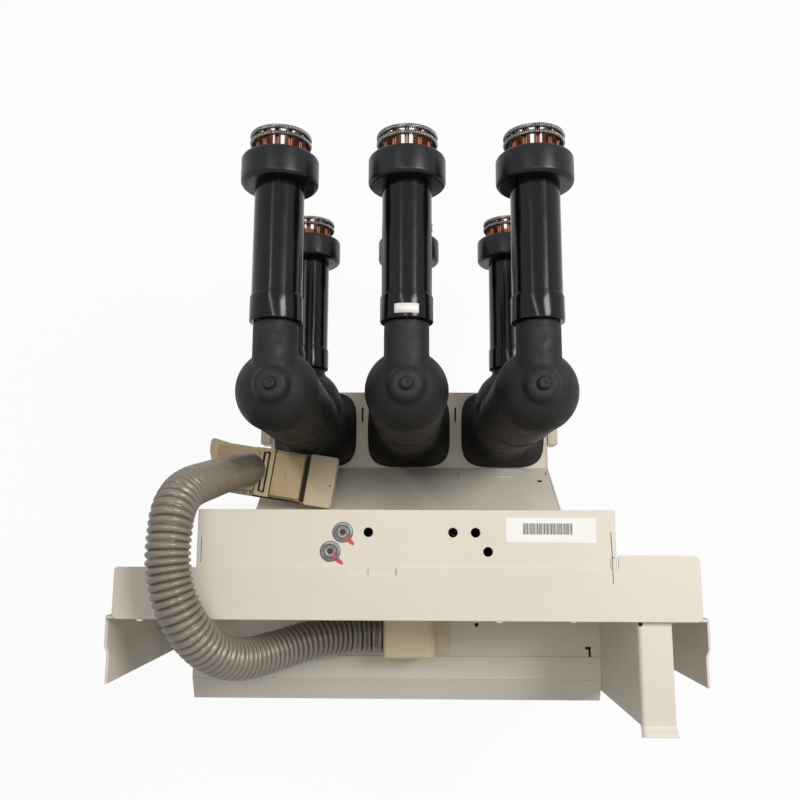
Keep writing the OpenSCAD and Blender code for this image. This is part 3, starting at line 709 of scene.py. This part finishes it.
film = finish_of("white_label_film", srgb(243, 242, 238), srgb(236, 235, 230), 20,
                 (0.34, 0.44), 700, 0.00003)
label_x, label_y = (0.1066, 0.2014), (-0.1378, -0.1120)
label_outline = rounded([(label_x[0], label_y[0]), (label_x[1], label_y[0]),
                         (label_x[1], label_y[1]), (label_x[0], label_y[1])], 0.001)
add_piece("rating_label", [slab(label_outline, 0.53395, 0.53415)], film)
ink = finish_of("label_ink", srgb(38, 38, 42), srgb(52, 52, 56), 300, (0.4, 0.5), 900, 0.00001)
bar_steps = np.arange(44)
bar_widths = 0.0004 + 0.00022 * ((bar_steps * 7 + bar_steps // 3) % 4)
bar_starts = 0.1245 + np.r_[0, np.cumsum(bar_widths + 0.0003 + 0.0002 * ((bar_steps * 5) % 3))][:-1]
bar_y, bars_end = (-0.1295, -0.1178), 0.184
bars = [slab(np.array([(a, bar_y[0]), (a + w, bar_y[0]), (a + w, bar_y[1]), (a, bar_y[1])]), 0.53412, 0.53422)
        for a, w in zip(bar_starts, bar_widths) if a < bars_end]
add_piece("label_bars", bars, ink)

# A small bare sticker on the cuff of the centre arm, bent round it.
sticker_turn = np.radians(np.linspace(90 - 27, 90 + 27, 20))
sticker_y = np.array([0.1125, 0.1235])
sticker_r = cuff_r + 0.00015
sticker = np.stack([np.broadcast_to(sticker_r * np.cos(sticker_turn), (2, 20)),
                    np.broadcast_to(sticker_y[:, None], (2, 20)),
                    np.broadcast_to(arm_z["upper"] + sticker_r * np.sin(sticker_turn), (2, 20))], -1)
patch = add_piece("arm_sticker", [(sticker.reshape(-1, 3), grid_faces(2, 20, round_columns=False))],
                  film)
wall = patch.modifiers.new("film_thickness", "SOLIDIFY")
wall.thickness, wall.offset = 0.00012, 0

# ---- Front plate's folds, flange and fasteners ----
# The front plate is folded back along its top into a wide flange that stiffens it, with a notch
# where the mechanism's cover hooks in. Strips at both sides run in the switchgear's guides.
front_y = -0.219
fold_z = 0.5365
flange_outline = rounded([(-0.309, front_y), (0.309, front_y), (0.309, -0.151), (0.2229, -0.151),
                          (0.2229, -0.165), (-0.010, -0.165), (-0.010, -0.173), (-0.060, -0.173),
                          (-0.060, -0.165), (-0.309, -0.165)],
                         [0.006, 0.006, 0.007, 0.003, 0.001, 0.0018, 0.001, 0.001, 0.0018, 0.004], 7)
soften(add_piece("top_flange_fold", [slab(flange_outline, cover_z, fold_z)], powder,
                 ["top_flange"]), 0.0010, 4)
# The slits are thin dark strips laid on the sheet: painted shade in place of open cuts.
slits = [slab(np.array([(-0.0399, -0.1726), (-0.0395, -0.1726), (-0.0395, -0.1656), (-0.0399, -0.1656)]),
              0.5339, 0.5342),
         slab(np.array([(0.2166, -0.1265), (0.2172, -0.1265), (0.2180, -0.1535), (0.2174, -0.1535)]),
              0.5339, 0.5343),
         slab(np.array([(0.2168, -0.1530), (0.2200, -0.1530), (0.2200, -0.1538), (0.2168, -0.1538)]),
              0.5339, 0.5343),
         slab(np.array([(0.2168, -0.1535), (0.2174, -0.1535), (0.2174, -0.1805), (0.2168, -0.1805)]),
              0.5362, 0.5367),
         slab(np.array([(-0.2178, -0.1335), (-0.2173, -0.1335), (-0.2173, -0.1600), (-0.2178, -0.1600)]),
              0.5339, 0.5342)]
shadow_gap = finish_of("dark_gap", srgb(46, 42, 38), srgb(34, 31, 28), 90, (0.7, 0.8), 900, 0.00002,
                       specular=0.1)
add_piece("fold_slits", slits, shadow_gap)
for name in ("side_flange_left", "side_flange_right"):
    dress(name, powder, 0.0009)


def domed_head(x, y, z, radius, height, facing):
    """A screw's domed head with a round socket, turned about the screw's axis."""
    lean = np.linspace(0, np.pi / 2, 7)
    dome = np.stack([radius * (0.5 + 0.5 * np.sin(lean)), height * np.cos(lean)], -1)
    profile = np.vstack([(0, height * 0.45), (radius * 0.45, height * 0.45), (radius * 0.5, height),
                         dome, (radius, 0), (0, 0)])
    points, quads = turned(profile, (0, 0, 0), sides=28)
    order = {"front": (0, 2, 1), "up": (0, 1, 2), "left": (2, 1, 0), "right": (2, 1, 0)}[facing]
    sign = {"front": (1, -1, 1), "up": (1, 1, 1), "left": (-1, 1, 1), "right": (1, 1, 1)}[facing]
    return points[:, order] * sign + np.array([x, y, z]), quads


plated = finish_of("plated_screws", (0.66, 0.65, 0.62), (0.50, 0.49, 0.46), 200,
                   (0.25, 0.40), 1200, 0.00002, metal=1.0)
screws = [domed_head(x, front_y, z, 0.0050, 0.0042, "front")
          for x, z in ((-0.287, 0.514), (0.1006, 0.510), (0.181, 0.506), (0.287, 0.502),
                       (-0.287, 0.380), (0.287, 0.380), (-0.287, 0.150), (0.287, 0.150))]
screws += [domed_head(s * 0.2225, y, z, 0.0042, 0.0030, "left" if s < 0 else "right")
           for s in (-1, 1) for y, z in ((-0.190, 0.505), (-0.130, 0.505), (-0.190, 0.300),
                                         (-0.130, 0.300), (-0.060, 0.070), (0.070, 0.060))]
add_piece("cover_screws", screws, plated)

# ---- Right bracket ----
# An angle of the same coated sheet stands out in front of the plate: its flat top ends in a
# raised lip with rolled edges, and its inner side is folded down into a deep skirt.
bracket_x = (0.243, 0.279)
bracket_top_z, skirt_low_z, bracket_front_y = 0.527, 0.336, -0.323
lip_rise, lip_run, lip_widening, sheet_left = 0.0048, 0.0100, 1.07, 0.0029
angle_outline = rounded([(bracket_x[0], skirt_low_z), (bracket_x[0], bracket_top_z),
                         (bracket_x[1], bracket_top_z), (bracket_x[1], bracket_top_z - 0.003),
                         (bracket_x[0] + 0.003, bracket_top_z - 0.003), (bracket_x[0] + 0.003, skirt_low_z)],
                        [0.0014, 0.0048, 0.0014, 0.0014, 0.0018, 0.0014], 7)


def bracket_sheet():
    """The bent section carried along Y. Past the skirt's end only its flat top goes on: there the
    section's height is cut off under the top, and it rises along a smooth step and widens a little."""
    ahead = np.array([0, 0, 0.0004, 0.0020, 0.0040, 0.0060, 0.0080, 0.0100, 0.0108])
    depth = np.r_[front_y, bracket_front_y, bracket_front_y - ahead[1:]][:, None]
    share = np.clip(np.r_[0, 0, ahead[1:]] / lip_run, 0, 1)[:, None]
    rise = lip_rise * share ** 2 * (3 - 2 * share)
    top_only = np.r_[0, 0, np.ones(len(ahead) - 1)][:, None]
    across, height = angle_outline[None, :, 0], angle_outline[None, :, 1]
    cut = np.maximum(height, bracket_top_z - sheet_left)
    middle = (bracket_x[0] + bracket_x[1]) / 2
    wide = np.r_[1, 1, np.linspace(1, lip_widening, len(ahead) - 1)][:, None]
    n = len(angle_outline)
    points = np.stack([middle + (across - middle) * wide, np.broadcast_to(depth, (len(depth), n)),
                       height * (1 - top_only) + cut * top_only + rise], -1)
    quads = [list(q) for q in grid_faces(len(depth), n)]
    last = (len(depth) - 1) * n
    return points.reshape(-1, 3), quads + [list(range(n - 1, -1, -1)), list(range(last, last + n))]


bracket = add_piece("bracket_angle", [bracket_sheet()], powder,
                    ["bracket_top", "bracket_skirt"])
soften(bracket, 0.0009, 3, 60)
# The relief hole is a thin dark disc on the sheet: painted shade in place of a hole.
add_piece("bracket_relief", [turned([(0, 0.5266), (0.0022, 0.5266), (0.0022, 0.52725), (0, 0.52725)],
                                    (0.2462, -0.2218, 0), sides=24)], shadow_gap)

# ---- Console ----
# The low box in front of the plate holds the control wiring. Its shelf, raised front rail and
# falling lip are one folded sheet, screwed down on a box of the same coated steel.
for name in ("console_shelf", "console_front_rail", "console_lip", "console_face", "console_sides"):
    dress(name, powder, 0.0009)
tab_outline = rounded([(0.2312, -0.2735), (0.2368, -0.2735), (0.2368, -0.2690), (0.2312, -0.2690)], 0.0006)
add_piece("shelf_tab", [slab(tab_outline, 0.3475, 0.3502)], powder)

# ---- Conduit fitting ----
# A two-part moulding of ivory plastic stands on the shelf: a thin base plate and a hood with
# well rounded edges, into whose left side the conduit is clipped.
ivory = finish_of("ivory_plastic", srgb(219, 204, 174), srgb(208, 190, 156), 18,
                  (0.36, 0.48), 1000, 0.00005, specular=0.45)
overlay(ivory, ranged(ivory.node_tree, noise_at(ivory.node_tree, 34, 7, 0.65), 0.60, 0.78, 0, 0.35),
        srgb(190, 170, 128))
base_outline = rounded([(-0.114, -0.2795), (0.054, -0.2795), (0.054, -0.2215), (-0.114, -0.2215)], 0.003)
base_plate = add_piece("fitting_plate", [slab(base_outline, 0.350, 0.354)], ivory,
                       ["fitting_base"])
soften(base_plate, 0.0010)
hood_outline = rounded([(-0.028, 0.354), (0.035, 0.354), (0.035, 0.408), (-0.028, 0.408)],
                       [0, 0, 0.012, 0.004], 8)
hood = add_piece("fitting_cover", [slab(hood_outline, -0.2775, -0.2235, "y")], ivory,
                 ["fitting_hood"])
soften(hood, 0.0055, 5, 60)
fit_details = [slab(rounded([(-0.004, -0.2793), (0.0495, -0.2793), (0.0495, -0.2770),
                             (-0.004, -0.2770)], 0.0005), 0.3538, 0.3546)]
add_piece("fitting_rib", fit_details, ivory)
add_piece("fitting_screw", [domed_head(-0.0085, -0.2760, 0.354, 0.0022, 0.0014, "up")], plated)

# ---- Control plug ----
# The loose connector on the conduit's end is moulded in ivory plastic: a tray with a wing at its
# left, a hinged locking lever, a cover over the wires and a solid block at its right. Dark strips
# in its gaps and dark discs in its pin holes are painted shade.
plug_at = np.array([-0.1985, -0.046])
plug_turn = np.radians(-9)
tray_z, deck_z, cover_foot_z, lever_top_z = (0.2252, 0.2330), (0.2322, 0.2470), 0.2465, 0.26085


def on_plug(shell):
    """Turns a shell made about the plug's own middle into its place."""
    points, quads = shell
    c, s = np.cos(plug_turn), np.sin(plug_turn)
    place = points.copy()
    place[:, 0] = plug_at[0] + c * points[:, 0] - s * points[:, 1]
    place[:, 1] = plug_at[1] + s * points[:, 0] + c * points[:, 1]
    return place, quads


def box_outline(x0, y0, x1, y1, radius=0.0014, steps=4):
    """A rectangle with rounded corners."""
    return rounded([(x0, y0), (x1, y0), (x1, y1), (x0, y1)], radius, steps)


dip = np.linspace(0, 1, 10)
wing_top = np.stack([-0.088 + 0.064 * dip, 0.0368 - 0.0058 * np.sin(np.pi * dip / 2)], -1)
wing_outline = np.vstack([(-0.024, -0.0360), (-0.060, -0.0365), (-0.068, -0.020), (-0.085, 0.000),
                          (-0.0925, 0.018), (-0.0935, 0.0315), (-0.0915, 0.0358), wing_top])
tray = on_plug(slab(box_outline(-0.0915, -0.0368, 0.0938, 0.0345, 0.005), *tray_z))
plug_body = [tray, on_plug(slab(wing_outline, *deck_z)),
             on_plug(slab(box_outline(0.0545, -0.0366, 0.0938, 0.0366, 0.003), *deck_z)),
             on_plug(slab(box_outline(-0.026, -0.0345, 0.056, 0.0345), 0.2322, 0.2440)),
             on_plug(slab(box_outline(-0.076, -0.008, 0.020, 0.032, 0.003), 0.2012, 0.2256))]
soften(add_piece("plug_body", plug_body, ivory, ["plug_frame"]), 0.0010, 3, 50)
aged = finish_of("aged_ivory_plastic", srgb(208, 186, 146), srgb(196, 172, 130), 22,
                 (0.34, 0.46), 1000, 0.00005, specular=0.45)
overlay(aged, ranged(aged.node_tree, noise_at(aged.node_tree, 40, 7, 0.65), 0.58, 0.78, 0, 0.4),
        srgb(176, 148, 100))
roof = rounded([(0.0062, -0.0312), (0.0480, -0.0312), (0.0480, 0.0290), (0.0062, 0.0310)], 0.0016, 4)
cover = [on_plug(slab(roof, 0.2435, 0.2594)),
         on_plug(slab(box_outline(-0.0790, -0.0290, -0.0165, 0.0290, 0.006), cover_foot_z, 0.2556))]
soften(add_piece("plug_cover", cover, aged, ["plug_hood"]), 0.0010, 3, 50)
lever = [on_plug(slab(box_outline(x0, y0, x1, y1, 0.0009), cover_foot_z, z1))
         for x0, y0, x1, y1, z1 in ((-0.0155, -0.0345, -0.0112, 0.0330, lever_top_z),
                                    (-0.0012, -0.0345, 0.0048, 0.0345, lever_top_z),
                                    (-0.0150, -0.0345, 0.0040, -0.0285, 0.26050),
                                    (-0.0150, 0.0285, 0.0040, 0.0340, 0.26050),
                                    (-0.0085, -0.0270, -0.0040, 0.0270, 0.25950))]
soften(add_piece("plug_lever", lever, ivory), 0.0006, 2, 50)
painted_gap_shade = finish_of("painted_gap_shade", srgb(48, 41, 36), srgb(38, 33, 30), 60,
                        (0.55, 0.70), 900, 0.00005, specular=0.3)
# Painted shade: dark strips fill the groove beside the right block, the gaps in the lever and the front edge.
gap_shade_strips = [on_plug(slab(box_outline(0.0478, -0.0335, 0.0548, 0.0335), 0.2430, 0.2452)),
        on_plug(slab(box_outline(-0.0112, -0.0290, -0.0012, 0.0290), 0.2466, 0.2570)),
        on_plug(slab(box_outline(0.0040, -0.0300, 0.0070, 0.0300), 0.2440, 0.2560)),
        on_plug(slab(box_outline(-0.0200, -0.0364, 0.0480, -0.0340), 0.2322, 0.2446))]
add_piece("plug_gap_shade", gap_shade_strips, painted_gap_shade)
# Painted shade: dark discs stand in for the lever's pin holes and for a hole in the right block.
pin_hole = [(0, 0.2560), (0.0016, 0.2560), (0.0013, lever_top_z), (0, lever_top_z)]
holes = [on_plug(turned(pin_hole, (-0.0042, y, 0), sides=20)) for y in (0.0286, -0.0286)]
holes.append(on_plug(turned([(0, 0.2440), (0.0014, 0.2440), (0.0013, 0.2471), (0, 0.2471)],
                            (0.0885, -0.005, 0), sides=20)))
add_piece("plug_pin_holes", holes, painted_gap_shade)
ochre = finish_of("ochre_mark", srgb(186, 150, 60), srgb(170, 132, 48), 200, (0.4, 0.5), 900, 0.00002)
add_piece("plug_mark", [on_plug(slab(box_outline(0.0240, -0.0035, 0.0258, 0.0040, 0.0004), 0.2590, 0.25945))],
          ochre)
recess = finish_of("greenish_grey_insert", srgb(150, 148, 128), srgb(132, 132, 114), 40,
                   (0.5, 0.6), 900, 0.00004)
add_piece("plug_insert", [on_plug(slab(box_outline(-0.0560, -0.0366, -0.0270, -0.0300), 0.2325, 0.2474))],
          recess)
